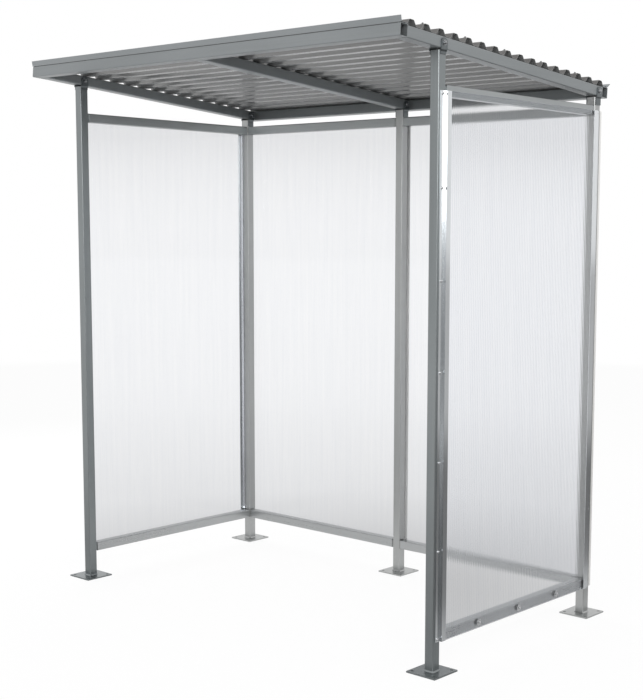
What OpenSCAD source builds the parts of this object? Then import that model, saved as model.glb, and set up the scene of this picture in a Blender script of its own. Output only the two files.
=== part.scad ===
// Open-fronted shelter: bolted square-tube frame, corrugated roof, twin-wall side and back panels.
// Millimetres. +Z is up, the open front faces -Y, the floor is z = 0.

/* [Footprint] */
// Width over the outer faces of the end posts
overall_w = 2100; // [1600:10:2600]
// Depth over the outer faces of the front and back posts
overall_d = 1062; // [800:2:1500]
// Length of every wall panel and of the strips that hold it
panel_len = 2000; // [1500:10:2300]
// Height of the panels' lower edge above the floor
panel_z0 = 118; // [60:1:250]

/* [Posts and rails] */
// Side of the square post tube
post_s = 40; // [36:1:60]
// Wall of the post and rail tubes
tube_t = 2.5; // [2:0.1:4]
// Outer corner radius of the post and rail tubes
tube_r = 4; // [3.5:0.1:8]
// Height of a rail tube, its depth is the post's
rail_h = 40; // [34:1:60]
// Gap between a rail's open end and the post beside it
rail_gap = 6; // [2:0.5:12]
// How far the top rail stands above the panels' upper edge
rail_top_show = 21; // [10:0.5:30]
// How far a post's spigot reaches into a rail
spigot_in = 30; // [20:1:60]
// Clearance of a spigot inside its rail, at each side and below
spigot_clear = 0.5; // [0.2:0.1:1.5]

/* [Base plates] */
// Side of the square base plate
plate_s = 136; // [110:1:200]
// Thickness of the base plate
plate_t = 6; // [4:0.5:12]
// Spacing of the four anchor holes, both ways
hole_pitch = 104; // [80:1:106]
// Diameter of an anchor hole
hole_d = 12; // [8:0.5:16]
// Leg of the weld around a post's foot
weld_leg = 5; // [3:0.5:8]

/* [Roof frame] */
// Fall of the roof towards the back, degrees
roof_slope = 4.7; // [2:0.05:10]
// Height of the rafters' underside over the top rails, at the back posts' rear face
roof_over = 36; // [30:0.5:120]
// Width of a rafter
rafter_w = 50; // [44:1:70]
// Height of a header tube, the roof sheet lies on the headers
frame_h = 45; // [40:1:60]
// Height of a rafter tube, its underside is level with the headers'
rafter_h = 42; // [36:0.5:60]
// Depth of a header tube, front to back
header_d = 40; // [30:1:60]
// Wall of the rafter and header tubes
frame_t = 2.5; // [2:0.1:4]
// Reach of the roof frame in front of the front posts
front_reach = 221; // [100:1:300]
// Reach of the roof frame behind the back posts
back_reach = 45; // [44:1:120]
// Gap between a post's open top and the rafter over it
post_top_gap = 2.5; // [1.5:0.5:6]

/* [Straps] */
// Thickness of a joggled strap
strap_t = 4; // [3:0.5:8]
// Width of a strap, front to back
strap_w = 34; // [28:1:36]
// Length of a front strap below the rafter's underside
strap_down = 18; // [16:0.5:60]
// Gap between a back strap's lower end and the top of the rails beside it
strap_foot = 2; // [0.5:0.5:8]
// Height of the joggle between the post's side and the rafter's side
joggle_h = 6; // [4:0.5:8]
// Distance of the joggle's upper end below the rafter's underside
joggle_drop = 2; // [1.5:0.5:4]

/* [Roof sheet] */
// Pitch of the corrugations
wave_pitch = 80.8; // [76:0.1:100]
// Height of a corrugation
wave_h = 21; // [14:0.5:30]
// Flat width on top of a corrugation
crest_flat = 16; // [6:0.5:20]
// Angle of a corrugation's flanks
flank_angle = 54; // [46:1:70]
// Inner bend radius of the sheet
bend_r = 6; // [3:0.5:6]
// Thickness of the sheet
sheet_t = 1; // [0.8:0.1:2]
// Distance of the sheet's side edges inside the side rafters' outer faces
sheet_set = 6; // [0:1:20]
// Distance of the first corrugation's crest behind the roof frame's front face
first_crest = 64.5; // [44:0.5:80]

/* [Flashings] */
// Thickness of a flashing
flash_t = 1.5; // [1:0.1:3]
// How far a flashing's ends stand out past the side rafters
flash_side = 4; // [0:1:40]
// Height of the front flashing's lip
front_lip = 22; // [12:0.5:50]
// Lean of the front flashing's lip out of upright, degrees
front_lean = 14; // [0:1:40]
// Width of the back flashing's foot on the sheet
back_foot = 11; // [8:0.5:28]
// Distance of the back flashing's bend in front of the roof frame's rear face
back_set = 6; // [1:0.5:12]
// Length of the back flashing's lip
back_lip = 22; // [10:0.5:40]
// Lean of the back flashing's lip out of upright, degrees
back_lean = 48; // [0:1:70]
// Gap between a flashing's foot and the corrugation beside it
sheet_gap = 3; // [1:0.5:6]
// Distance of the sheet's front and back edges inside the roof frame
sheet_inset = 1; // [0.5:0.5:4]

/* [Wall panels] */
// Thickness of a panel
panel_t = 10; // [6:0.5:16]
// Thickness of a panel's two skins and of its ribs
skin_t = 1; // [0.8:0.1:1.5]
// Pitch of the flutes in a panel
flute_pitch = 11; // [8:0.5:20]
// Gap between a panel's edge and the strip beside it
edge_gap = 1; // [0.5:0.5:4]
// Gap between the two back panels
middle_gap = 6; // [2:0.5:12]

/* [Strips] */
// Thickness of the strips that hold the panels
strip_t = 2; // [1.5:0.1:3]
// Width of a side retainer's flange on the post
inner_flange = 27; // [20:0.5:34]
// Width of a retainer's flange over the panel
outer_flange = 24; // [16:0.5:40]
// How far a side retainer's web stands behind the post's edge
web_lap = 4; // [1:0.5:10]
// Width of the corner trims over the back panels
trim_w = 28; // [16:0.5:36]
// Width of the cover strip over the middle joint
cover_w = 60; // [40:1:100]
// Clearance between a panel's face and the flange over it
flange_clear = 0.4; // [0:0.1:1.5]

/* [Hidden] */
$fn = 32;
hw = overall_w / 2;
hd = overall_d / 2;
px = hw - post_s / 2;
py = hd - post_s / 2;
panel_z1 = panel_z0 + panel_len;
low_rail_z = panel_z0;
top_rail_z = panel_z1 + rail_top_show - rail_h;
roof_z = panel_z1 + rail_top_show + roof_over + hd * tan(roof_slope);
front_top = roof_z + (hd - post_s) * tan(roof_slope) - post_top_gap;
back_top = roof_z - hd * tan(roof_slope) - post_top_gap;
front_strap_z = roof_z + py * tan(roof_slope) - strap_down;
back_strap_z = top_rail_z + rail_h + strap_foot;
bay_side = overall_d - 2 * post_s;
bay_back = hw - 1.5 * post_s;
spigot_s = post_s - 2 * tube_t - 2 * spigot_clear;
spigot_h = rail_h - 2 * tube_t - spigot_clear;
frame_front = -hd - front_reach;
frame_back = hd + back_reach;
rafter_len = frame_back - frame_front - 2 * header_d;
rafter_y = (frame_front + frame_back) / 2;
header_len = overall_w - post_s + rafter_w;
sheet_len_x = header_len - 2 * sheet_set;
flash_len = header_len + 2 * flash_side;
sheet_y0 = frame_front + sheet_inset;
sheet_y1 = frame_back - sheet_inset;
bend_sum = 2 * bend_r + sheet_t;
flank_rise = wave_h - bend_sum * (1 - cos(flank_angle));
flank_run = bend_sum * sin(flank_angle) + flank_rise / tan(flank_angle);
half_crest = crest_flat / 2;
half_wave = half_crest + flank_run;
wave_y0 = frame_front + first_crest;
wave_end = frame_back - back_set - back_foot - sheet_gap;
wave_n = floor((wave_end - half_wave - wave_y0) / wave_pitch) + 1;
front_foot = first_crest - half_wave - sheet_gap;
web_y = hd - post_s + web_lap;
side_panel_w = 2 * (web_y - strip_t - edge_gap);
back_panel_w = hw - strip_t - edge_gap - middle_gap / 2;
strip_out = panel_t + flange_clear + strip_t;
lip_front_y = frame_front - front_lip * sin(front_lean);
lip_front_z = frame_h + sheet_t + front_lip * cos(front_lean);
lip_back_y = frame_back - back_set + back_lip * sin(back_lean);
lip_back_z = frame_h + sheet_t + back_lip * cos(back_lean);
header_front_y = (frame_front + tube_r) * cos(roof_slope) + tube_r * sin(roof_slope) - tube_r;
header_back_y = (frame_back - tube_r) * cos(roof_slope) + (frame_h - tube_r) * sin(roof_slope) + tube_r;
reach_front = min(header_front_y, lip_front_y * cos(roof_slope) + lip_front_z * sin(roof_slope));
reach_back = max(header_back_y, lip_back_y * cos(roof_slope) + lip_back_z * sin(roof_slope));
shift_y = -(reach_front + reach_back) / 2;

STEEL = [0.66, 0.68, 0.69];
ROOF = [0.42, 0.43, 0.44];
CLEAR = [0.90, 0.93, 0.94, 0.7];

// Moves the posts' middle so that the whole part stands centred over the origin.
module centred() {
  translate([0, shift_y, 0]) children();
}

// Rounded rectangle, centred.
module rounded(w, h, r) {
  square([w - 2 * r, h], center = true);
  square([w, h - 2 * r], center = true);
  for (sx = [-1, 1]) {
    for (sy = [-1, 1]) {
      translate([sx * (w / 2 - r), sy * (h / 2 - r)]) circle(r = r);
    }
  }
}

// Wall section of a tube with rounded corners.
module tube_section(w, h, t, r) {
  difference() {
    rounded(w, h, r);
    rounded(w - 2 * t, h - 2 * t, r - t);
  }
}

// Tube lying along X, centred on the origin.
module tube_x(len, d, h, t, r) {
  rotate([90, 0, 90]) linear_extrude(height = len, center = true) tube_section(d, h, t, r);
}

// Tube lying along Y, centred on the origin.
module tube_y(len, w, h, t, r) {
  rotate([90, 0, 0]) linear_extrude(height = len, center = true) tube_section(w, h, t, r);
}

// Short tube welded to a post's +X face, that a rail end slips over.
module spigot_x(z0) {
  reach = rail_gap + spigot_in;
  top = z0 + rail_h - tube_t;
  translate([post_s / 2 + reach / 2 - 0.2, 0, top - spigot_h / 2])
    tube_x(reach + 0.4, spigot_s, spigot_h, tube_t, tube_r - 0.5);
}

// The two spigots of a wall, turned towards the bay they serve.
module spigots(turn) {
  rotate([0, 0, turn]) spigot_x(low_rail_z);
  rotate([0, 0, turn]) spigot_x(top_rail_z);
}

// Weld run around the foot of a post.
module foot_weld() {
  half = post_s / 2 - tube_r;
  for (turn = [0, 90, 180, 270]) {
    rotate([0, 0, turn]) {
      translate([post_s / 2, 0, 0]) rotate([90, 0, 0]) linear_extrude(height = 2 * half, center = true)
        polygon([[-0.5, 0], [weld_leg, 0], [0, weld_leg], [-0.5, weld_leg]]);
      translate([half, half, 0]) difference() {
        cylinder(h = weld_leg, r1 = tube_r + weld_leg, r2 = tube_r);
        translate([0, 0, -1]) cylinder(h = weld_leg + 2, r = tube_r - 0.5);
      }
    }
  }
}

// Square base plate with its four anchor holes.
module base_plate() {
  difference() {
    translate([-plate_s / 2, -plate_s / 2, 0]) cube([plate_s, plate_s, plate_t]);
    for (sx = [-1, 1]) {
      for (sy = [-1, 1]) {
        translate([sx * hole_pitch / 2, sy * hole_pitch / 2, -1]) cylinder(h = plate_t + 2, d = hole_d);
      }
    }
  }
}

// Post on its plate, open at the top.
module post(top) {
  base_plate();
  translate([0, 0, plate_t]) linear_extrude(height = top - plate_t) tube_section(post_s, post_s, tube_t, tube_r);
  translate([0, 0, plate_t]) difference() {
    foot_weld();
    translate([0, 0, -1]) linear_extrude(height = weld_leg + 2) rounded(post_s - tube_t, post_s - tube_t, tube_r);
  }
}

module post_front_left() color(STEEL) centred() translate([-px, -py, 0]) {
  post(front_top);
  spigots(90);
}

module post_front_right() color(STEEL) centred() translate([px, -py, 0]) {
  post(front_top);
  spigots(90);
}

module post_back_left() color(STEEL) centred() translate([-px, py, 0]) {
  post(back_top);
  spigots(0);
  spigots(-90);
}

module post_back_middle() color(STEEL) centred() translate([0, py, 0]) {
  post(back_top);
  spigots(0);
  spigots(180);
}

module post_back_right() color(STEEL) centred() translate([px, py, 0]) {
  post(back_top);
  spigots(180);
  spigots(-90);
}

// Joggled strap on a post's +X side, its lower end at height lo, its upper end rounded about the bolt.
module strap_plate(y, lo) {
  under = roof_z - y * tan(roof_slope);
  j1 = under - joggle_drop;
  j0 = j1 - joggle_h;
  eye = under + rafter_h / 2;
  hi = eye + strap_w;
  a = post_s / 2;
  b = rafter_w / 2;
  intersection() {
    translate([0, y, 0]) rotate([90, 0, 0]) linear_extrude(height = strap_w, center = true)
      polygon([[a, lo], [a + strap_t, lo], [a + strap_t, j0 - 1], [b + strap_t, j1 - 1],
               [b + strap_t, hi], [b, hi], [b, j1], [a, j0]]);
    translate([0, y, 0]) rotate([90, 0, 90]) linear_extrude(height = b + strap_t + 1) {
      translate([-strap_w / 2 - 1, lo - 1]) square([strap_w + 2, eye - lo + 1]);
      translate([0, eye]) circle(r = strap_w / 2 + 0.5, $fn = 64);
    }
  }
}

// Strap on one side of the post at x, side = -1 or 1.
module strap(x, side, y, lo) {
  translate([x, 0, 0]) {
    if (side < 0) mirror([1, 0, 0]) strap_plate(y, lo);
    if (side > 0) strap_plate(y, lo);
  }
}

module strap_front_left_a() color(STEEL) centred() strap(-px, -1, -py, front_strap_z);
module strap_front_left_b() color(STEEL) centred() strap(-px, 1, -py, front_strap_z);
module strap_front_right_a() color(STEEL) centred() strap(px, -1, -py, front_strap_z);
module strap_front_right_b() color(STEEL) centred() strap(px, 1, -py, front_strap_z);
module strap_back_left_a() color(STEEL) centred() strap(-px, -1, py, back_strap_z);
module strap_back_left_b() color(STEEL) centred() strap(-px, 1, py, back_strap_z);
module strap_back_middle_a() color(STEEL) centred() strap(0, -1, py, back_strap_z);
module strap_back_middle_b() color(STEEL) centred() strap(0, 1, py, back_strap_z);
module strap_back_right_a() color(STEEL) centred() strap(px, -1, py, back_strap_z);
module strap_back_right_b() color(STEEL) centred() strap(px, 1, py, back_strap_z);

// Side wall rail, its lower face at z0.
module side_rail(x, z0) {
  translate([x, 0, z0 + rail_h / 2]) tube_y(bay_side - 2 * rail_gap, post_s, rail_h, tube_t, tube_r);
}

// Back wall rail of one bay, its lower face at z0.
module back_rail(side, z0) {
  translate([side * (hw - post_s / 2) / 2, py, z0 + rail_h / 2])
    tube_x(bay_back - 2 * rail_gap, post_s, rail_h, tube_t, tube_r);
}

module rail_left_bottom() color(STEEL) centred() side_rail(-px, low_rail_z);
module rail_left_top() color(STEEL) centred() side_rail(-px, top_rail_z);
module rail_right_bottom() color(STEEL) centred() side_rail(px, low_rail_z);
module rail_right_top() color(STEEL) centred() side_rail(px, top_rail_z);
module rail_back_left_bottom() color(STEEL) centred() back_rail(-1, low_rail_z);
module rail_back_left_top() color(STEEL) centred() back_rail(-1, top_rail_z);
module rail_back_right_bottom() color(STEEL) centred() back_rail(1, low_rail_z);
module rail_back_right_top() color(STEEL) centred() back_rail(1, top_rail_z);

// Carries what is drawn level into the sloping roof frame, z = 0 at the rafters' underside.
module on_roof() {
  translate([0, 0, roof_z]) rotate([-roof_slope, 0, 0]) children();
}

module header(y) {
  on_roof() translate([0, y, frame_h / 2]) tube_x(header_len, header_d, frame_h, frame_t, tube_r);
}

module rafter(x) {
  on_roof() translate([x, rafter_y, rafter_h / 2]) tube_y(rafter_len, rafter_w, rafter_h, frame_t, tube_r);
}

module header_front() color(STEEL) centred() header(frame_front + header_d / 2);
module header_rear() color(STEEL) centred() header(frame_back - header_d / 2);
module rafter_left() color(STEEL) centred() rafter(-px);
module rafter_middle() color(STEEL) centred() rafter(0);
module rafter_right() color(STEEL) centred() rafter(px);

// Strip bent from a foot on the header and a lip leaning away from the roof.
module flashing(foot, lip, lean) {
  s = lip * sin(lean);
  c = lip * cos(lean);
  k = flash_t * tan((90 - lean) / 2);
  rotate([90, 0, 90]) linear_extrude(height = flash_len, center = true)
    polygon([[foot, 0], [0, 0], [-s, c], [-s + flash_t * cos(lean), c + flash_t * sin(lean)],
             [k, flash_t], [foot, flash_t]]);
}

module flashing_front() color(STEEL) centred() on_roof() translate([0, frame_front, frame_h + sheet_t])
  flashing(front_foot, front_lip, front_lean);

module flashing_rear() color(STEEL) centred() on_roof() translate([0, frame_back - back_set, frame_h + sheet_t])
  mirror([0, 1, 0]) flashing(back_foot, back_lip, back_lean);

// One corrugation's outline about its centre: up = 0 is the underside, up = 1 the upper side.
function rise(up) = concat(
  [for (i = [0:3]) let (a = -90 + flank_angle * i / 3, r = bend_r + (1 - up) * sheet_t)
    [-half_wave + r * cos(a), bend_r + sheet_t + r * sin(a)]],
  [for (i = [3:-1:0]) let (a = 90 + flank_angle * i / 3, r = bend_r + up * sheet_t)
    [-half_crest + r * cos(a), wave_h - bend_r + r * sin(a)]]);
function fall(up) = [for (i = [7:-1:0]) let (q = rise(up)[i]) [-q[0], q[1]]];
function wave(up) = concat(rise(up), fall(up));
function run(up) = [for (k = [0:wave_n - 1]) for (q = wave(up)) [wave_y0 + k * wave_pitch + q[0], q[1]]];

module roof_sheet() color(ROOF) centred() on_roof() translate([0, 0, frame_h]) rotate([90, 0, 90])
  linear_extrude(height = sheet_len_x, center = true)
    polygon(concat([[sheet_y0, 0]], run(0), [[sheet_y1, 0], [sheet_y1, sheet_t]],
                   [for (i = [len(run(1)) - 1:-1:0]) run(1)[i]], [[sheet_y0, sheet_t]]));

// Twin-wall panel standing on z = 0, its width along X, its inner face on y = 0.
module panel(w) {
  n = floor((w - skin_t) / flute_pitch);
  cell = (w - skin_t) / n;
  linear_extrude(height = panel_len) difference() {
    translate([-w / 2, 0]) square([w, panel_t]);
    for (k = [0:n - 1]) {
      translate([-w / 2 + skin_t + k * cell, skin_t]) square([cell - skin_t, panel_t - 2 * skin_t]);
    }
  }
}

module panel_left() color(CLEAR) centred() translate([-hw, 0, panel_z0]) rotate([0, 0, 90]) panel(side_panel_w);
module panel_right() color(CLEAR) centred() translate([hw, 0, panel_z0]) rotate([0, 0, -90]) panel(side_panel_w);
module panel_back_left() color(CLEAR) centred()
  translate([-(back_panel_w + middle_gap) / 2, hd, panel_z0]) panel(back_panel_w);
module panel_back_right() color(CLEAR) centred()
  translate([(back_panel_w + middle_gap) / 2, hd, panel_z0]) panel(back_panel_w);

// Z-section retainer: flange on the post, web out past the panel's edge, flange over the panel.
// Drawn for the right wall's front edge, standing on z = 0.
module retainer() {
  y0 = -web_y;
  linear_extrude(height = panel_len) {
    translate([0, y0 - inner_flange + strip_t]) square([strip_t, inner_flange]);
    translate([0, y0]) square([strip_out, strip_t]);
    translate([strip_out - strip_t, y0]) square([strip_t, outer_flange]);
  }
}

module retainer_right_front() color(STEEL) centred() translate([hw, 0, panel_z0]) retainer();
module retainer_right_back() color(STEEL) centred() translate([hw, 0, panel_z0]) mirror([0, 1, 0]) retainer();
module retainer_left_front() color(STEEL) centred() mirror([1, 0, 0]) translate([hw, 0, panel_z0]) retainer();
module retainer_left_back() color(STEEL) centred()
  mirror([1, 0, 0]) translate([hw, 0, panel_z0]) mirror([0, 1, 0]) retainer();

// Corner trim closing the right back panel's outer edge.
module corner_trim() {
  translate([hw, hd, panel_z0]) linear_extrude(height = panel_len) {
    translate([-strip_t, 0]) square([strip_t, strip_out]);
    translate([-trim_w, strip_out - strip_t]) square([trim_w, strip_t]);
  }
}

module trim_back_right() color(STEEL) centred() corner_trim();
module trim_back_left() color(STEEL) centred() mirror([1, 0, 0]) corner_trim();
module cover_strip_back() color(STEEL) centred()
  translate([-cover_w / 2, hd + panel_t, panel_z0]) cube([cover_w, strip_t, panel_len]);

post_front_left();
post_front_right();
post_back_left();
post_back_middle();
post_back_right();
strap_front_left_a();
strap_front_left_b();
strap_front_right_a();
strap_front_right_b();
strap_back_left_a();
strap_back_left_b();
strap_back_middle_a();
strap_back_middle_b();
strap_back_right_a();
strap_back_right_b();
rail_left_bottom();
rail_left_top();
rail_right_bottom();
rail_right_top();
rail_back_left_bottom();
rail_back_left_top();
rail_back_right_bottom();
rail_back_right_top();
header_front();
header_rear();
rafter_left();
rafter_middle();
rafter_right();
flashing_front();
flashing_rear();
roof_sheet();
panel_left();
panel_right();
panel_back_left();
panel_back_right();
retainer_left_front();
retainer_left_back();
retainer_right_front();
retainer_right_back();
trim_back_left();
trim_back_right();
cover_strip_back();
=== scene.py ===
import logging
import math
from dataclasses import dataclass, field
from enum import Enum
from typing import Callable, Iterable, Sequence

import bmesh
import bpy
from mathutils import Matrix, Vector


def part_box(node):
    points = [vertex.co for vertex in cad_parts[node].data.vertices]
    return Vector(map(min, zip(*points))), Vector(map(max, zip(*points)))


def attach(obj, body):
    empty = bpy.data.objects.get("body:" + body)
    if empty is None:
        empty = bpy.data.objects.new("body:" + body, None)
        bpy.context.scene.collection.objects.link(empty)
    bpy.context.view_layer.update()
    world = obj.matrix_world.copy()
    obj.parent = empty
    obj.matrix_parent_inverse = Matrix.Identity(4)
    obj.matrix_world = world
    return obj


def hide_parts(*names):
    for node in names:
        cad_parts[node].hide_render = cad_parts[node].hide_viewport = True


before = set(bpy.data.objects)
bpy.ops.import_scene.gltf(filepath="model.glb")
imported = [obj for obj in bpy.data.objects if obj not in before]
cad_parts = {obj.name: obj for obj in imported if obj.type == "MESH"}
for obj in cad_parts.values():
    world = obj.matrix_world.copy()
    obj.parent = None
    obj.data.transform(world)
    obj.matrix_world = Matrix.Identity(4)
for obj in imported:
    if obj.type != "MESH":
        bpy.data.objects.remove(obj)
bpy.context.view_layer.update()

log = logging.getLogger("shelter")
BODY = "root"

Colour = tuple[float, float, float]
Point = tuple[float, float, float]
Stop = tuple[float, float]


# ---------------------------------------------------------------------------------------------
# Where things are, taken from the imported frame
# ---------------------------------------------------------------------------------------------

class Corner(Enum):
    """The five posts."""

    FRONT_LEFT = "front_left"
    FRONT_RIGHT = "front_right"
    BACK_LEFT = "back_left"
    BACK_MIDDLE = "back_middle"
    BACK_RIGHT = "back_right"


class Axis(Enum):
    """The direction in which a piece runs, or faces."""

    X = 0
    Y = 1
    Z = 2


@dataclass(frozen=True)
class Box:
    """The box of a CAD node, in metres."""

    lo: Vector
    hi: Vector

    @classmethod
    def of(cls, node: str) -> "Box":
        """Reads a node's box from the frame.

        Args:
            node: the CAD node's name.

        Returns:
            Its box at rest.
        """
        lo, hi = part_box(node)
        return cls(lo, hi)

    @property
    def mid(self) -> Vector:
        """The middle of the box."""
        return (self.lo + self.hi) / 2

    @property
    def size(self) -> Vector:
        """The box's three sides."""
        return self.hi - self.lo


@dataclass(frozen=True)
class RoofPlane:
    """The sloping plane of the rafters' underside: height as a function of y."""

    slope: float
    height: float

    @classmethod
    def measured(cls) -> "RoofPlane":
        """Finds the plane from the two headers, whose boxes are alike and differ by the fall."""
        front, rear = Box.of("header_front"), Box.of("header_rear")
        run = rear.mid.y - front.mid.y
        fall = front.mid.z - rear.mid.z
        slope = math.atan2(fall, run)
        depth = front.size.y * math.cos(slope) - front.size.z * math.sin(slope)
        tube = (front.size.z - depth * math.sin(slope)) / math.cos(slope)
        height = front.mid.z - tube / 2 / math.cos(slope) + front.mid.y * math.tan(slope)
        return cls(slope, height)

    def under(self, y: float) -> float:
        """Height of the rafters' underside at y."""
        return self.height - y * math.tan(self.slope)


# ---------------------------------------------------------------------------------------------
# Small helpers for meshes and node trees
# ---------------------------------------------------------------------------------------------

def linked(name: str, mesh: bpy.types.Mesh,
           material: bpy.types.Material | None = None) -> bpy.types.Object:
    """Puts a mesh into the scene as an object at the origin.

    Args:
        name: the object's name.
        mesh: its mesh, already in place.
        material: the finish, if the mesh has none yet.

    Returns:
        The new object.
    """
    obj = bpy.data.objects.new(name, mesh)
    bpy.context.scene.collection.objects.link(obj)
    if material is not None:
        mesh.materials.clear()
        mesh.materials.append(material)
    return obj


def frozen(obj: bpy.types.Object, name: str) -> bpy.types.Object:
    """Turns an object with live modifiers into one with a plain mesh.

    Args:
        obj: the object with its modifiers.
        name: the name of the plain one.

    Returns:
        The plain object; the first one is removed.
    """
    depsgraph = bpy.context.evaluated_depsgraph_get()
    depsgraph.update()
    mesh = bpy.data.meshes.new_from_object(obj.evaluated_get(depsgraph))
    mesh.name = name
    old = obj.data
    bpy.data.objects.remove(obj)
    if old.users == 0:
        bpy.data.meshes.remove(old)
    return linked(name, mesh)


class Tree:
    """A thin wrapper that makes node trees readable to write."""

    def __init__(self, nodes: bpy.types.NodeTree) -> None:
        """Keeps the tree and clears it."""
        self.nodes = nodes
        nodes.nodes.clear()

    def add(self, kind: str, settings: dict | None = None, **inputs) -> bpy.types.Node:
        """Adds a node.

        Args:
            kind: the node's type name.
            settings: attributes of the node.
            inputs: socket values or output sockets, by the socket's name with _ for spaces.

        Returns:
            The node.
        """
        node = self.nodes.nodes.new(kind)
        for key, value in (settings or {}).items():
            setattr(node, key, value)
        for key, value in inputs.items():
            self.put(node, key.replace("_", " "), value)
        return node

    def put(self, node: bpy.types.Node, socket: str | int, value) -> None:
        """Sets or links one input of a node, by the socket's name or number."""
        target = node.inputs[socket]
        if isinstance(value, bpy.types.NodeSocket):
            self.nodes.links.new(value, target)
        elif isinstance(value, bpy.types.Node):
            self.nodes.links.new(value.outputs[0], target)
        else:
            target.default_value = value

    def math(self, operation: str, a, b=0.0, clamp: bool = False) -> bpy.types.NodeSocket:
        """Adds a Math node and returns its output."""
        node = self.nodes.nodes.new("ShaderNodeMath")
        node.operation = operation
        node.use_clamp = clamp
        self.put(node, 0, a)
        self.put(node, 1, b)
        return node.outputs[0]

    def part(self, vector, axis: Axis) -> bpy.types.NodeSocket:
        """One component of a vector socket."""
        return self.add("ShaderNodeSeparateXYZ", Vector=vector).outputs[axis.value]

    def ramp(self, value, stops: Sequence[Stop]) -> bpy.types.NodeSocket:
        """Adds a grey colour ramp.

        Args:
            value: the socket that drives it.
            stops: pairs of place and grey level.

        Returns:
            The ramp's colour output.
        """
        node = self.nodes.nodes.new("ShaderNodeValToRGB")
        elements = node.color_ramp.elements
        while len(elements) < len(stops):
            elements.new(0.5)
        for element, (place, grey) in zip(elements, stops):
            element.position = place
            element.color = (grey, grey, grey, 1.0)
        self.put(node, 0, value)
        return node.outputs[0]

    def blend(self, factor, a: Colour, b: Colour) -> bpy.types.NodeSocket:
        """Mixes two fixed colours by a factor socket and returns the colour output."""
        node = self.nodes.nodes.new("ShaderNodeMix")
        node.data_type = "RGBA"
        self.put(node, 0, factor)
        node.inputs[6].default_value = (*a, 1.0)
        node.inputs[7].default_value = (*b, 1.0)
        return node.outputs[2]


# ---------------------------------------------------------------------------------------------
# Finishes
# ---------------------------------------------------------------------------------------------

@dataclass(frozen=True)
class Galvanised:
    """Zinc-coated steel: a grey metal with drawing streaks, soft clouds and a fine spangle."""

    name: str
    dark: Colour
    light: Colour
    roughness: float = 0.30
    metallic: float = 1.0
    along: Axis = Axis.Z
    streak: float = 0.30
    spangle: float = 0.10
    across_scale: float = 30.0
    along_scale: float = 0.7
    spangle_scale: float = 240.0
    cloud_scale: float = 1.7
    gloss_change: float = 0.08
    relief: float = 0.0004

    def material(self) -> bpy.types.Material:
        """Builds the material.

        Returns:
            The material, with streaks that run along the piece.
        """
        mat = bpy.data.materials.new(self.name)
        mat.use_nodes = True
        t = Tree(mat.node_tree)
        place = t.add("ShaderNodeTexCoord").outputs["Object"]
        stretch = [self.across_scale] * 3
        stretch[self.along.value] = self.along_scale
        run = t.add("ShaderNodeMapping", Vector=place, Scale=tuple(stretch))
        streaks = t.add("ShaderNodeTexNoise", Vector=run, Scale=2.4, Detail=3.0, Roughness=0.5)
        grains = t.add("ShaderNodeTexVoronoi", {"feature": "F1"}, Vector=place, Scale=self.spangle_scale)
        cloud = t.add("ShaderNodeTexNoise", Vector=place, Scale=self.cloud_scale, Detail=2.0, Roughness=0.5)
        cloud_share = 1.0 - self.streak - self.spangle / 2
        tone = t.math("MULTIPLY", streaks.outputs["Fac"], self.streak)
        tone = t.math("ADD", tone, t.math("MULTIPLY", grains.outputs["Distance"], self.spangle))
        tone = t.math("ADD", tone, t.math("MULTIPLY", cloud.outputs["Fac"], cloud_share))
        factor = t.ramp(tone, [(0.30, 0.0), (0.72, 1.0)])
        change = t.math("MULTIPLY", factor, self.gloss_change)
        rough = t.math("ADD", change, self.roughness - self.gloss_change / 2)
        bump = t.add("ShaderNodeBump", Strength=0.04, Distance=self.relief, Height=streaks.outputs["Fac"])
        shader = t.add("ShaderNodeBsdfPrincipled", Metallic=self.metallic, Roughness=rough, Normal=bump)
        t.put(shader, "Base Color", t.blend(factor, self.dark, self.light))
        t.add("ShaderNodeOutputMaterial", Surface=shader)
        return mat


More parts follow.
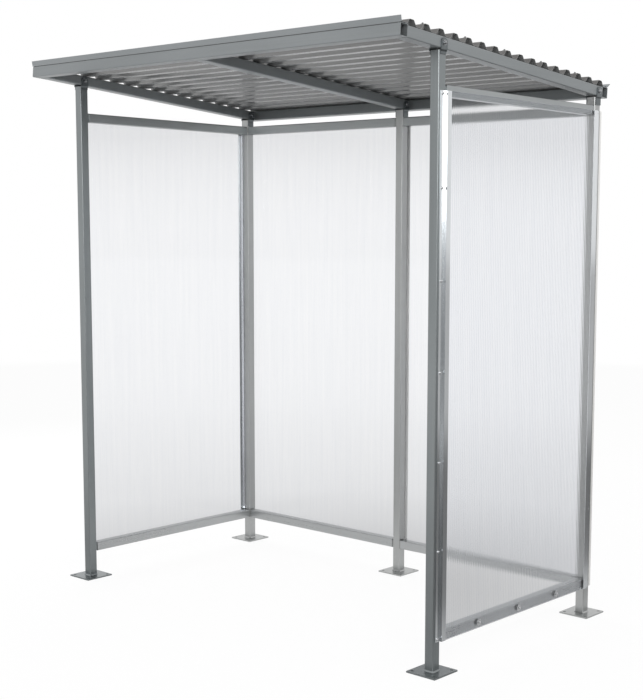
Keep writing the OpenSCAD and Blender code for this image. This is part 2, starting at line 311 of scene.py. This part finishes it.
@dataclass(frozen=True)
class RoofCoat:
    """Coated corrugated sheet: dusty dark grey on the weather side, glossy mid grey below."""

    name: str = "roof_sheet_coating"
    weather: Colour = (0.105, 0.102, 0.100)
    inside: Colour = (0.300, 0.302, 0.300)
    dust_gain: float = 1.6
    inside_range: tuple[float, float] = (0.90, 1.12)
    weather_gloss: tuple[float, float] = (0.30, 0.14)
    inside_gloss: tuple[float, float] = (0.17, 0.06)

    def material(self) -> bpy.types.Material:
        """Builds the material, which tells the sides apart by the way the surface faces."""
        mat = bpy.data.materials.new(self.name)
        mat.use_nodes = True
        t = Tree(mat.node_tree)
        given = t.add("ShaderNodeTexCoord").outputs
        place = given["Object"]
        top = t.math("GREATER_THAN", t.part(given["Normal"], Axis.Z), 0.02)
        cloud = t.add("ShaderNodeTexNoise", Vector=place, Scale=9.0, Detail=6.0, Roughness=0.62)
        dust = t.ramp(cloud.outputs["Fac"], [(0.35, 0.0), (0.75, 1.0)])
        run = t.add("ShaderNodeMapping", Vector=place, Scale=(0.5, 24.0, 24.0))
        rolled = t.add("ShaderNodeTexNoise", Vector=run, Scale=1.6, Detail=3.0, Roughness=0.5)
        dusty = tuple(v * self.dust_gain for v in self.weather)
        weather = t.blend(dust, self.weather, dusty)
        darker, lighter = (tuple(v * gain for v in self.inside) for gain in self.inside_range)
        inside = t.blend(rolled.outputs["Fac"], darker, lighter)
        colour = t.nodes.nodes.new("ShaderNodeMix")
        colour.data_type = "RGBA"
        t.put(colour, 0, top)
        t.put(colour, 6, inside)
        t.put(colour, 7, weather)
        worn = t.math("ADD", t.math("MULTIPLY", dust, self.weather_gloss[1]), self.weather_gloss[0])
        smooth = t.math("MULTIPLY", rolled.outputs["Fac"], self.inside_gloss[1])
        smooth = t.math("ADD", smooth, self.inside_gloss[0])
        above = t.math("MULTIPLY", top, worn)
        below = t.math("MULTIPLY", t.math("SUBTRACT", 1.0, top), smooth)
        rough = t.math("ADD", above, below)
        shader = t.add("ShaderNodeBsdfPrincipled", Metallic=0.5, Roughness=rough)
        t.put(shader, "Base Color", colour.outputs[2])
        t.add("ShaderNodeOutputMaterial", Surface=shader)
        return mat


@dataclass(frozen=True)
class TwinWall:
    """Clear twin-wall sheet: lightly hazy, with its ribs as faint upright lines read from the UV map."""

    name: str = "twin_wall_sheet"
    tint: Colour = (0.965, 0.968, 0.976)
    rib: Colour = (0.85, 0.865, 0.895)
    pitch: float = 0.011
    haze: float = 0.07
    swell: float = 0.0006
    index: float = 1.25
    rib_edge: tuple[float, float] = (0.30, 0.42)
    rib_share: float = 0.65
    drawn_scale: float = 52.0
    drawn_stretch: float = 0.03

    def material(self) -> bpy.types.Material:
        """Builds the material. U is the distance across the flutes in metres, V the height."""
        mat = bpy.data.materials.new(self.name)
        mat.use_nodes = True
        t = Tree(mat.node_tree)
        uv = t.add("ShaderNodeTexCoord").outputs["UV"]
        across, up = t.part(uv, Axis.X), t.part(uv, Axis.Y)
        flute = t.math("FRACT", t.math("DIVIDE", across, self.pitch))
        edge = t.math("ABSOLUTE", t.math("SUBTRACT", flute, 0.5))
        line = t.ramp(edge, [(self.rib_edge[0], 0.0), (self.rib_edge[1], 1.0)])
        slow = t.add("ShaderNodeCombineXYZ", X=across, Y=t.math("MULTIPLY", up, self.drawn_stretch))
        streak = t.add("ShaderNodeTexNoise", Vector=slow, Scale=self.drawn_scale, Detail=4.0, Roughness=0.65)
        mottle = t.ramp(streak.outputs["Fac"], [(0.30, 0.0), (0.70, 1.0)])
        mottle = t.math("MULTIPLY", mottle, 1.0 - self.rib_share)
        factor = t.math("ADD", t.math("MULTIPLY", line, self.rib_share), mottle)
        swell = t.math("SINE", t.math("MULTIPLY", flute, 2.0 * math.pi))
        height = t.math("MULTIPLY", t.math("ADD", swell, streak.outputs["Fac"]), 0.5)
        bump = t.add("ShaderNodeBump", Strength=0.5, Distance=self.swell, Height=height)
        shader = t.add("ShaderNodeBsdfPrincipled", Roughness=self.haze, IOR=self.index, Normal=bump)
        shader.inputs["Transmission Weight"].default_value = 1.0
        t.put(shader, "Base Color", t.blend(factor, self.tint, self.rib))
        t.add("ShaderNodeOutputMaterial", Surface=shader)
        return mat


# ---------------------------------------------------------------------------------------------
# The frame: CAD nodes that only need their finish
# ---------------------------------------------------------------------------------------------

class Steel(Enum):
    """The tones of the frame's galvanised steel, by group: darkest and lightest tone, roughness, streak and
    metal share.
    """

    # Posts, rails, straps and roof frame are one galvanised steel, and their tones are lit and shaded copies
    # of it. RAIL and BACK are lighter as painted light, LOW_RAIL is lighter still as a painted reflection of
    # the bright floor, and STRAP is darker as painted shade at the post tops.
    ROOF = ((0.205, 0.220, 0.226), (0.265, 0.282, 0.290), 0.36, 0.30, 0.5)
    POST = ((0.195, 0.212, 0.216), (0.270, 0.289, 0.295), 0.30, 0.30, 0.9)
    RAIL = ((0.290, 0.306, 0.310), (0.385, 0.400, 0.405), 0.30, 0.35, 0.9)
    STRAP = ((0.110, 0.122, 0.128), (0.175, 0.190, 0.197), 0.36, 0.25, 0.9)
    FLASHING = ((0.250, 0.268, 0.276), (0.315, 0.332, 0.342), 0.36, 0.35, 0.9)
    BACK = ((0.350, 0.358, 0.358), (0.430, 0.438, 0.436), 0.30, 0.35, 0.9)
    LOW_RAIL = ((0.370, 0.380, 0.384), (0.450, 0.460, 0.464), 0.28, 0.35, 0.9)
    STRIP = ((0.600, 0.622, 0.640), (0.760, 0.780, 0.795), 0.12, 0.50, 1.0)


@dataclass
class SteelFrame:
    """Posts, rails, roof frame, strips and straps, which keep their CAD shape."""

    finishes: dict[str, bpy.types.Material] = field(default_factory=dict)
    satin: bpy.types.Material = field(init=False)

    def __post_init__(self) -> None:
        """Builds the satin finish of the trims and the cover strip."""
        maker = Galvanised("satin_strip", (0.78, 0.78, 0.76), (0.90, 0.90, 0.88), 0.36, metallic=0.4)
        self.satin = maker.material()

    def finish(self, steel: Steel, along: Axis) -> bpy.types.Material:
        """One steel finish with its streaks along one axis, built once."""
        name = f"galvanised_{steel.name.lower()}_{along.name.lower()}"
        if name not in self.finishes:
            dark, light, roughness, streak, metal = steel.value
            maker = Galvanised(name, dark, light, roughness, metal, along, streak)
            self.finishes[name] = maker.material()
        return self.finishes[name]

    def finish_for(self, node: str) -> bpy.types.Material | None:
        """Chooses the finish of a CAD node.

        Args:
            node: the node's name.

        Returns:
            Its material, or None where another class dresses it.
        """
        if node.startswith(("panel", "roof_sheet")):
            return None
        if node.startswith("retainer"):
            return self.finish(Steel.STRIP, Axis.Z)
        if node.startswith(("trim", "cover")):
            return self.satin
        # Straps take the darker STRAP tone, which is painted shade at the post tops.
        if node.startswith("strap"):
            return self.finish(Steel.STRAP, Axis.Z)
        if node.startswith("flashing"):
            return self.finish(Steel.FLASHING, Axis.X)
        if node.startswith("rafter"):
            return self.finish(Steel.ROOF, Axis.Y)
        if node.startswith("header"):
            return self.finish(Steel.ROOF, Axis.X)
        # Rails take lighter tones as painted light. The bottom rails' tone is lighter still, as a painted
        # reflection of the floor.
        if node.startswith("rail"):
            along = Axis.X if node.startswith("rail_back") else Axis.Y
            return self.finish(Steel.LOW_RAIL if node.endswith("bottom") else Steel.RAIL, along)
        # Back posts take the lighter BACK tone as painted light.
        return self.finish(Steel.BACK if node.startswith("post_back") else Steel.POST, Axis.Z)

    def dress(self) -> None:
        """Gives every steel node its finish."""
        for name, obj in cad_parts.items():
            material = self.finish_for(name)
            if material is not None:
                obj.data.materials.clear()
                obj.data.materials.append(material)
                log.info("dressed %s", name)


@dataclass
class RoofSheet:
    """The corrugated sheet, which keeps its CAD shape."""

    coat: RoofCoat = field(default_factory=RoofCoat)

    def dress(self) -> None:
        """Gives the sheet its two-sided coating."""
        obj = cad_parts["roof_sheet"]
        obj.data.materials.clear()
        obj.data.materials.append(self.coat.material())
        log.info("dressed roof_sheet")


# ---------------------------------------------------------------------------------------------
# Wall panels
# ---------------------------------------------------------------------------------------------

@dataclass
class WallPanels:
    """The four twin-wall panels, each one clear body with its flute mouths open at both ends."""

    finish: TwinWall = field(default_factory=TwinWall)
    skin: float = 0.001
    mouth: float = 0.003
    clearance: float = 0.0003
    names: tuple[str, ...] = ("panel_left", "panel_right", "panel_back_left", "panel_back_right")

    def build(self) -> None:
        """Builds the panels and lets each stand for its CAD node."""
        material = self.finish.material()
        for name in self.names:
            obj = linked(f"{name}_sheet", self.sheet(name), material)
            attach(obj, BODY)
            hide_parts(name)
            obj.visible_shadow = False
            log.info("built %s", obj.name)

    def sheet(self, node: str) -> bpy.types.Mesh:
        """Makes one panel.

        Args:
            node: the CAD node that it stands for.

        Returns:
            A closed mesh in the node's place, with a UV map in metres.
        """
        box = Box.of(node)
        along_x = box.size.x > box.size.y
        width, height = max(box.size.x, box.size.y), box.size.z
        thick = min(box.size.x, box.size.y) - 2 * self.clearance
        layers = (0.0, self.skin, thick - self.skin, thick)
        cells = max(1, int((width - self.skin) / self.finish.pitch))
        cell = (width - self.skin) / cells
        bm = bmesh.new()
        uv_layer = bm.loops.layers.uv.new("flutes")
        places: dict[tuple[float, float, float], bmesh.types.BMVert] = {}

        def vert(u: float, v: float, w: float) -> bmesh.types.BMVert:
            """The vertex at u across, v through and w up, made once."""
            key = (round(u, 6), round(v, 6), round(w, 6))
            if key not in places:
                places[key] = bm.verts.new(key)
            return places[key]

        def panel_face(*corners: Point) -> None:
            """A face through its corners, with its UV map."""
            face = bm.faces.new([vert(*c) for c in corners])
            for loop in face.loops:
                loop[uv_layer].uv = (loop.vert.co.x, loop.vert.co.z)

        xs = [0.0]
        for k in range(cells):
            xs += [self.skin + k * cell, (k + 1) * cell]
        xs.append(width)
        xs = sorted(set(round(x, 6) for x in xs))
        for a, b in zip(xs, xs[1:]):
            panel_face((a, 0.0, 0.0), (b, 0.0, 0.0), (b, 0.0, height), (a, 0.0, height))
            panel_face((b, thick, 0.0), (a, thick, 0.0), (a, thick, height), (b, thick, height))
        for w, out in ((0.0, -1), (height, 1)):
            floor = w - out * self.mouth
            for index, (a, b) in enumerate(zip(xs, xs[1:])):
                if index % 2 == 1 and b - a > self.skin * 1.5:
                    self.ring(panel_face, a, b, layers, w, floor, out)
                else:
                    self.land(panel_face, a, b, layers, w, out)
        for u in (0.0, width):
            rising = [(u, v, 0.0) for v in layers]
            falling = [(u, v, height) for v in reversed(layers)]
            panel_face(*rising, *falling)
        bmesh.ops.recalc_face_normals(bm, faces=bm.faces)
        mesh = bpy.data.meshes.new(f"{node}_sheet")
        bm.to_mesh(mesh)
        bm.free()
        if along_x:
            turn = Matrix.Translation(box.lo)
        else:
            corner = Vector((box.hi.x, box.lo.y, box.lo.z))
            turn = Matrix.Translation(corner) @ Matrix.Rotation(math.pi / 2, 4, "Z")
        mesh.transform(turn @ Matrix.Translation((0.0, self.clearance, 0.0)))
        return mesh

    @staticmethod
    def ring(face: Callable, a: float, b: float, layers: Sequence[float], w: float, floor: float,
             out: int) -> None:
        """Makes one open flute mouth: the skins' ends, the pocket's four walls and its floor.

        Args:
            face: makes a face through the corners that it is given.
            a: the mouth's near side across the panel.
            b: its far side.
            layers: the skins' outer and inner sides, through the panel.
            w: the height of the panel's end.
            floor: the height of the pocket's floor.
            out: 1 at the upper end, -1 at the lower.
        """
        v0, v1, v2, v3 = layers
        order = (lambda *c: face(*c)) if out > 0 else (lambda *c: face(*reversed(c)))
        order((a, v0, w), (b, v0, w), (b, v1, w), (a, v1, w))
        order((a, v2, w), (b, v2, w), (b, v3, w), (a, v3, w))
        order((a, v1, w), (b, v1, w), (b, v1, floor), (a, v1, floor))
        order((b, v2, w), (a, v2, w), (a, v2, floor), (b, v2, floor))
        order((b, v1, w), (b, v2, w), (b, v2, floor), (b, v1, floor))
        order((a, v2, w), (a, v1, w), (a, v1, floor), (a, v2, floor))
        order((a, v1, floor), (b, v1, floor), (b, v2, floor), (a, v2, floor))

    @staticmethod
    def land(face: Callable, a: float, b: float, layers: Sequence[float], w: float, out: int) -> None:
        """Makes a rib's end between two flute mouths.

        Args:
            face: makes a face through the corners that it is given.
            a: the rib's near side across the panel.
            b: its far side.
            layers: the skins' outer and inner sides, through the panel.
            w: the height of the panel's end.
            out: 1 at the upper end, -1 at the lower.
        """
        for v, v_next in zip(layers, layers[1:]):
            corners = ((a, v, w), (b, v, w), (b, v_next, w), (a, v_next, w))
            face(*(corners if out > 0 else reversed(corners)))


# ---------------------------------------------------------------------------------------------
# Fixings, by Geometry Nodes
# ---------------------------------------------------------------------------------------------

class Head(Enum):
    """The shapes of a fixing's head: the number of its sides."""

    HEX = 6
    PAN = 20


@dataclass(frozen=True)
class Fixing:
    """A bolt or screw head on its washer, sizes in metres."""

    name: str
    head: Head
    head_radius: float
    head_height: float
    washer_radius: float
    washer_height: float


@dataclass(frozen=True)
class Seat:
    """One place for a fixing: the point on the surface and the way it faces."""

    at: Vector
    facing: Vector


class FixingMaker:
    """Sets one kind of fixing on a list of seats with a Geometry Nodes tree."""

    INPUTS = ("Head radius", "Head height", "Washer radius", "Washer height", "Head sides")
    WASHER_SIDES = 28
    DOME_SIDES = 18
    HEAD_TAPER = 0.82
    DOME_FOOT = 0.80
    DOME_TOP = 0.36
    DOME_RISE = 0.35

    def __init__(self, material: bpy.types.Material) -> None:
        """Keeps the finish and builds the tree."""
        self.material = material
        self.tree = self.build_tree()

    def build_tree(self) -> bpy.types.NodeTree:
        """Builds the tree: a washer, a head and its low dome, set on each point and turned to face out.

        Returns:
            The geometry node tree.
        """
        group = bpy.data.node_groups.new("fixings_on_seats", "GeometryNodeTree")
        face = group.interface
        face.new_socket("Geometry", in_out="INPUT", socket_type="NodeSocketGeometry")
        for label in self.INPUTS[:-1]:
            face.new_socket(label, in_out="INPUT", socket_type="NodeSocketFloat")
        face.new_socket(self.INPUTS[-1], in_out="INPUT", socket_type="NodeSocketInt")
        face.new_socket("Geometry", in_out="OUTPUT", socket_type="NodeSocketGeometry")
        t = Tree(group)
        given = t.add("NodeGroupInput")
        out = given.outputs
        radius, height, washer_height = out["Head radius"], out["Head height"], out["Washer height"]
        washer = t.add("GeometryNodeMeshCylinder", Vertices=self.WASHER_SIDES)
        t.put(washer, "Radius", out["Washer radius"])
        t.put(washer, "Depth", washer_height)
        head = t.add("GeometryNodeMeshCone", {"fill_type": "NGON"})
        t.put(head, "Vertices", out["Head sides"])
        t.put(head, "Radius Bottom", radius)
        t.put(head, "Radius Top", t.math("MULTIPLY", radius, self.HEAD_TAPER))
        t.put(head, "Depth", height)
        dome = t.add("GeometryNodeMeshCone", {"fill_type": "NGON"}, Vertices=self.DOME_SIDES)
        t.put(dome, "Radius Bottom", t.math("MULTIPLY", radius, self.DOME_FOOT))
        t.put(dome, "Radius Top", t.math("MULTIPLY", radius, self.DOME_TOP))
        t.put(dome, "Depth", t.math("MULTIPLY", height, self.DOME_RISE))
        lifts = (t.math("MULTIPLY", washer_height, 0.5), washer_height, t.math("ADD", washer_height, height))
        both = t.add("GeometryNodeJoinGeometry")
        for part, lift in zip((washer, head, dome), lifts):
            up = t.add("ShaderNodeCombineXYZ", Z=lift)
            lifted = t.add("GeometryNodeTransform", Geometry=part.outputs["Mesh"], Translation=up)
            t.nodes.links.new(lifted.outputs[0], both.inputs[0])
        facing = t.add("GeometryNodeInputNamedAttribute", {"data_type": "FLOAT_VECTOR"}, Name="facing")
        turn = t.add("FunctionNodeAlignRotationToVector", {"axis": "Z"}, Vector=facing.outputs[0])
        points = t.add("GeometryNodeMeshToPoints", Mesh=out["Geometry"])
        placed = t.add("GeometryNodeInstanceOnPoints", Points=points, Instance=both, Rotation=turn)
        real = t.add("GeometryNodeRealizeInstances", Geometry=placed)
        done = t.add("GeometryNodeSetMaterial", Geometry=real, Material=self.material)
        t.add("NodeGroupOutput", Geometry=done)
        return group

    def make(self, fixing: Fixing, seats: Iterable[Seat]) -> bpy.types.Object:
        """Makes one piece that holds all fixings of a kind.

        Args:
            fixing: the kind and its sizes.
            seats: where they sit.

        Returns:
            The piece, riding on the body.
        """
        seats = list(seats)
        mesh = bpy.data.meshes.new(fixing.name)
        mesh.from_pydata([tuple(s.at) for s in seats], [], [])
        facing = mesh.attributes.new("facing", "FLOAT_VECTOR", "POINT")
        for item, seat in zip(facing.data, seats):
            item.vector = seat.facing
        obj = linked(fixing.name + "_seats", mesh)
        modifier = obj.modifiers.new("fixings", "NODES")
        modifier.node_group = self.tree
        values = dict(zip(self.INPUTS, (fixing.head_radius, fixing.head_height, fixing.washer_radius,
                                        fixing.washer_height, fixing.head.value)))
        for item in self.tree.interface.items_tree:
            if item.in_out == "INPUT" and item.name in values:
                modifier[item.identifier] = values[item.name]
        piece = frozen(obj, fixing.name)
        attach(piece, BODY)
        log.info("made %s: %d fixings", fixing.name, len(seats))
        return piece


@dataclass
class Fixings:
    """Every bolt and screw of the shelter."""

    maker: FixingMaker
    dark_maker: FixingMaker
    coated_maker: FixingMaker
    roof: RoofPlane
    strap_bolt: Fixing = Fixing("strap_bolts", Head.HEX, 0.0075, 0.0050, 0.0100, 0.0018)
    strip_screw: Fixing = Fixing("strip_screws", Head.PAN, 0.0045, 0.0022, 0.0065, 0.0010)
    sheet_screw: Fixing = Fixing("sheet_screws", Head.HEX, 0.0055, 0.0050, 0.0130, 0.0020)
    roof_screw: Fixing = Fixing("roof_screws", Head.HEX, 0.0045, 0.0040, 0.0080, 0.0015)
    strap_end: float = 0.0175
    strip_rows: int = 7
    end_gap: float = 0.010
    strip_gauge: float = 0.002
    strip_edge: float = 0.012
    rail_screws: int = 3
    rail_pitch: float = 0.265
    rail_lift: float = 0.002
    crest_band: float = 0.0006
    crest_gap: float = 0.02

    def straps(self) -> list[Seat]:
        """Seats at the rafters' bolts, on the outer face of every strap."""
        seats = []
        for corner in Corner:
            for side, sign in (("a", -1.0), ("b", 1.0)):
                box = Box.of(f"strap_{corner.value}_{side}")
                x = box.lo.x if sign < 0 else box.hi.x
                z = box.hi.z - self.strap_end
                seats.append(Seat(Vector((x, box.mid.y, z)), Vector((sign, 0.0, 0.0))))
        return seats

    def covers(self) -> list[Seat]:
        """Seats down the cover strip and the trims of the back wall, facing backwards."""
        seats = []
        for name in ("cover_strip_back", "trim_back_left", "trim_back_right"):
            box = Box.of(name)
            for z in self.rows(box):
                seats.append(Seat(Vector((box.mid.x, box.hi.y, z)), Vector((0.0, 1.0, 0.0))))
        return seats

    def crests(self) -> list[Vector]:
        """Finds the middle of each crest of the roof sheet, from its highest points above the rafters.

        Returns:
            One point for each crest, front to back, at x = 0.
        """
        points = [v.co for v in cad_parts["roof_sheet"].data.vertices]
        top = max(p.z - self.roof.under(p.y) for p in points)
        found = sorted((p.y, p.z) for p in points if p.z - self.roof.under(p.y) > top - self.crest_band)
        groups: list[list[tuple[float, float]]] = []
        for place in found:
            if groups and place[0] - groups[-1][-1][0] < self.crest_gap:
                groups[-1].append(place)
            else:
                groups.append([place])
        crests = []
        for group in groups:
            y = sum(place[0] for place in group) / len(group)
            z = sum(place[1] for place in group) / len(group)
            crests.append(Vector((0.0, y, z)))
        return crests

    def roofs(self) -> list[Seat]:
        """Seats of the roof screws: every third crest over each rafter."""
        up = Vector((0.0, math.sin(self.roof.slope), math.cos(self.roof.slope)))
        seats = []
        for name in ("rafter_left", "rafter_middle", "rafter_right"):
            x = Box.of(name).mid.x
            for crest in self.crests()[1::3]:
                seats.append(Seat(Vector((x, crest.y, crest.z)), up))
        return seats

    def rows(self, box: Box) -> list[float]:
        """The heights of the screws down an upright strip."""
        step = (box.size.z - 2 * self.end_gap) / (self.strip_rows - 1)
        return [box.lo.z + self.end_gap + k * step for k in range(self.strip_rows)]

    def strips(self) -> list[Seat]:
        """Seats down the inner flange of the four side retainers."""
        seats = []
        for name, sign in (("left", -1.0), ("right", 1.0)):
            for end in ("front", "back"):
                box = Box.of(f"retainer_{name}_{end}")
                rail = Box.of(f"rail_{name}_top")
                x = (rail.lo.x if sign < 0 else rail.hi.x) + sign * self.strip_gauge
                y = box.lo.y + self.strip_edge if end == "front" else box.hi.y - self.strip_edge
                seats += [Seat(Vector((x, y, z)), Vector((sign, 0.0, 0.0))) for z in self.rows(box)]
        return seats

    def sheets(self) -> list[Seat]:
        """Seats of the washer screws that hold each panel to its bottom rail."""
        seats = []
        for name, sign in (("left", -1.0), ("right", 1.0)):
            box, rail = Box.of(f"panel_{name}"), Box.of(f"rail_{name}_bottom")
            x = box.lo.x if sign < 0 else box.hi.x
            for k in range(self.rail_screws):
                y = box.mid.y + (k - 1) * self.rail_pitch
                seats.append(Seat(Vector((x, y, rail.mid.z + self.rail_lift)), Vector((sign, 0.0, 0.0))))
        for name in ("left", "right"):
            box, rail = Box.of(f"panel_back_{name}"), Box.of(f"rail_back_{name}_bottom")
            for k in range(self.rail_screws):
                x = box.mid.x + (k - 1) * self.rail_pitch
                place = Vector((x, box.hi.y, rail.mid.z + self.rail_lift))
                seats.append(Seat(place, Vector((0.0, 1.0, 0.0))))
        return seats

    def build(self) -> None:
        """Makes the four families of fixings."""
        self.dark_maker.make(self.strap_bolt, self.straps())
        self.maker.make(self.strip_screw, self.strips() + self.covers())
        self.maker.make(self.sheet_screw, self.sheets())
        self.coated_maker.make(self.roof_screw, self.roofs())


# ---------------------------------------------------------------------------------------------
# Floor, light and camera
# ---------------------------------------------------------------------------------------------

@dataclass(frozen=True)
class SoftBox:
    """A square area lamp: its place and side in metres, its power in watts, and if steel mirrors it."""

    name: str
    place: Point
    size: float
    power: float
    mirrored: bool


@dataclass
class Studio:
    """A plain pale floor under soft light, with a white surround.

    The pairs of numbers are colour ramp stops. Those of the floor run over the distance from the
    shelter in units of reach, or over x and y in units of breadth and depth, centred on 0.5.
    """

    floor_radius: float = 60.0
    floor_tone: float = 0.55
    seen_tone: float = 0.95
    seen_share: float = 0.92
    reach: float = 20.0
    breadth: float = 8.0
    depth: float = 4.0
    fade: tuple[Stop, ...] = ((0.12, 0.0), (0.55, 1.0))
    mirror_behind: tuple[Stop, ...] = ((0.30, 0.0), (0.55, 0.90))
    mirror_behind_side: tuple[Stop, ...] = ((0.62, 1.0), (0.75, 0.25))
    mirror_around: tuple[Stop, ...] = ((0.08, 0.0), (0.20, 0.90))
    mirror_around_side: tuple[Stop, ...] = ((0.50, 1.0), (0.70, 0.0))
    shade_side: tuple[Stop, ...] = ((0.62, 0.0), (0.70, 0.70))
    shade_reach: tuple[Stop, ...] = ((0.24, 1.0), (0.36, 0.0))
    through_panels: tuple[Stop, ...] = (
        (0.034, 0.58),
        (0.08, 0.73),
        (0.12, 0.83),
        (0.17, 0.87),
        (0.23, 0.90),
        (0.32, 0.94),
        (0.43, 0.96),
        (0.90, 0.98),
    )
    through_sky: tuple[Stop, ...] = ((0.0, 0.96), (0.02, 0.94), (0.042, 0.90), (0.064, 0.83), (0.25, 0.78))
    overhead: tuple[Stop, ...] = ((0.30, 1.0), (0.85, 0.55))
    aim: Point = (0.0, 0.0, 1.3)
    soft_boxes: tuple[SoftBox, ...] = (
        SoftBox("key", (4.9, -5.0, 3.7), 4.0, 250.0, True),
        SoftBox("fill", (-4.2, 1.4, 3.4), 3.0, 110.0, False),
    )

    def floor(self) -> None:
        """Lays the floor, which shows white, keeps the shelter's shadow and fades into the surround."""
        bm = bmesh.new()
        bmesh.ops.create_circle(bm, cap_ends=True, segments=96, radius=self.floor_radius)
        mesh = bpy.data.meshes.new("floor")
        bm.to_mesh(mesh)
        bm.free()
        linked("floor", mesh, self.paper())

    def paper(self) -> bpy.types.Material:
        """Makes the floor's material: white where it is seen, grey for the light that it throws back.

        Returns:
            The material. Its white share grows with the distance from the shelter, until floor and
            surround are one. Steel mirrors it white behind and to the left of the shelter and darker
            close by on the right, and the clear panels show it a little greyer near the shelter.
        """
        mat = bpy.data.materials.new("floor_paper")
        mat.use_nodes = True
        t = Tree(mat.node_tree)
        path = t.add("ShaderNodeLightPath").outputs
        camera, panels = path["Is Camera Ray"], path["Is Transmission Ray"]
        place = t.add("ShaderNodeTexCoord").outputs["Object"]
        length = t.add("ShaderNodeVectorMath", {"operation": "LENGTH"})
        t.put(length, 0, place)
        away = t.math("DIVIDE", length.outputs["Value"], self.reach)
        side = t.math("ADD", t.math("DIVIDE", t.part(place, Axis.X), self.breadth), 0.5)
        back = t.math("ADD", t.math("DIVIDE", t.part(place, Axis.Y), self.depth), 0.5)
        bounced = t.math("MULTIPLY", path["Is Glossy Ray"], t.math("SUBTRACT", 1.0, panels))
        shade = t.math("MULTIPLY", t.ramp(side, self.shade_side), t.ramp(away, self.shade_reach))
        shade = t.math("SUBTRACT", 1.0, t.math("MULTIPLY", bounced, shade))
        behind = t.math("MULTIPLY", t.ramp(back, self.mirror_behind), t.ramp(side, self.mirror_behind_side))
        around = t.math("MULTIPLY", t.ramp(away, self.mirror_around), t.ramp(side, self.mirror_around_side))
        mirrored = t.math("MULTIPLY", bounced, t.math("MAXIMUM", behind, around))
        mirrored = t.math("MULTIPLY", mirrored, shade)
        direct = t.math("MULTIPLY", camera, t.math("MAXIMUM", t.ramp(away, self.fade), self.seen_share))
        share = t.math("ADD", t.math("ADD", direct, panels), mirrored, clamp=True)
        seen_more = t.math("MULTIPLY", camera, self.seen_tone - self.floor_tone)
        tone = t.math("MULTIPLY", t.math("ADD", seen_more, self.floor_tone), shade)
        dimmed = t.math("SUBTRACT", 1.0, t.ramp(away, self.through_panels))
        bright = t.math("SUBTRACT", 1.0, t.math("MULTIPLY", panels, dimmed))
        mix = t.add("ShaderNodeMixShader")
        t.put(mix, 0, share)
        t.put(mix, 1, t.add("ShaderNodeBsdfDiffuse", Color=tone))
        t.put(mix, 2, t.add("ShaderNodeEmission", Color=bright, Strength=1.0))
        t.add("ShaderNodeOutputMaterial", Surface=mix)
        return mat

    def surround(self) -> None:
        """Makes the world: white where it is seen or mirrored, a little greyer overhead for soft light."""
        world = bpy.data.worlds.new("studio")
        bpy.context.scene.world = world
        world.use_nodes = True
        t = Tree(world.node_tree)
        up = t.part(t.add("ShaderNodeTexCoord").outputs["Generated"], Axis.Z)
        path = t.add("ShaderNodeLightPath").outputs
        panels = path["Is Transmission Ray"]
        seen = t.math("ADD", path["Is Camera Ray"], path["Is Glossy Ray"], clamp=True)
        white = t.math("MULTIPLY", seen, t.math("SUBTRACT", 1.0, panels))
        through = t.math("MULTIPLY", panels, t.ramp(up, self.through_sky))
        others = t.math("SUBTRACT", 1.0, t.math("MAXIMUM", seen, panels))
        soft = t.math("MULTIPLY", others, t.ramp(up, self.overhead))
        total = t.math("ADD", t.math("ADD", white, through), soft)
        light = t.add("ShaderNodeBackground", Color=total, Strength=1.0)
        t.add("ShaderNodeOutputWorld", Surface=light)

    def lamps(self) -> None:
        """Hangs the soft lamps. Only the key's large soft box is mirrored by the steel."""
        for lamp in self.soft_boxes:
            data = bpy.data.lights.new(lamp.name, "AREA")
            data.shape = "SQUARE"
            data.size = lamp.size
            data.energy = lamp.power
            obj = bpy.data.objects.new(lamp.name, data)
            bpy.context.scene.collection.objects.link(obj)
            obj.location = lamp.place
            aim = Vector(self.aim) - Vector(lamp.place)
            obj.rotation_euler = aim.to_track_quat("-Z", "Y").to_euler()
            obj.visible_camera = False
            obj.visible_transmission = False
            obj.visible_glossy = lamp.mirrored

    def build(self) -> None:
        """Sets up floor, surround, lamps and the colour view."""
        self.floor()
        self.surround()
        self.lamps()
        bpy.context.scene.view_settings.view_transform = "Standard"


@dataclass
class Camera:
    """The camera: place in metres, angles in radians, focal length and shift in image widths."""

    place: Point = (4.01494, -4.15306, 1.63983)
    yaw: float = 0.7021
    dip: float = 0.1164
    roll: float = 0.0073
    focal: float = 2.06490
    shift: tuple[float, float] = (-0.12254, 0.04997)
    sensor: float = 36.0
    sight: float = 200.0

    def build(self) -> None:
        """Makes the camera and gives it to the scene."""
        data = bpy.data.cameras.new("camera")
        data.sensor_fit = "HORIZONTAL"
        data.sensor_width = self.sensor
        data.lens = self.focal * data.sensor_width
        data.shift_x, data.shift_y = self.shift
        data.clip_end = self.sight
        camera = bpy.data.objects.new("camera", data)
        bpy.context.scene.collection.objects.link(camera)
        turn = (Matrix.Rotation(self.yaw, 4, "Z") @ Matrix.Rotation(math.pi / 2 - self.dip, 4, "X")
                @ Matrix.Rotation(self.roll, 4, "Z"))
        camera.matrix_world = Matrix.Translation(self.place) @ turn
        bpy.context.scene.camera = camera


def main() -> None:
    """Builds the shelter's looks and the studio around it, in order."""
    logging.basicConfig(level=logging.INFO, format="%(name)s: %(message)s")
    Camera().build()
    Studio().build()
    steel = SteelFrame()
    steel.dress()
    RoofSheet().dress()
    WallPanels().build()
    zinc = Galvanised("zinc_fixings", (0.52, 0.53, 0.54), (0.68, 0.69, 0.70), roughness=0.24)
    # The strap bolts' darker tone is painted shade at the post tops, like the straps' tone.
    bolt = Galvanised("dark_zinc_bolts", (0.26, 0.27, 0.28), (0.38, 0.39, 0.40), roughness=0.26)
    coated = Galvanised("coated_screws", (0.10, 0.10, 0.10), (0.17, 0.17, 0.17), 0.45, metallic=0.3)
    makers = [FixingMaker(finish.material()) for finish in (zinc, bolt, coated)]
    Fixings(*makers, RoofPlane.measured()).build()


if __name__ == "__main__":
    main()
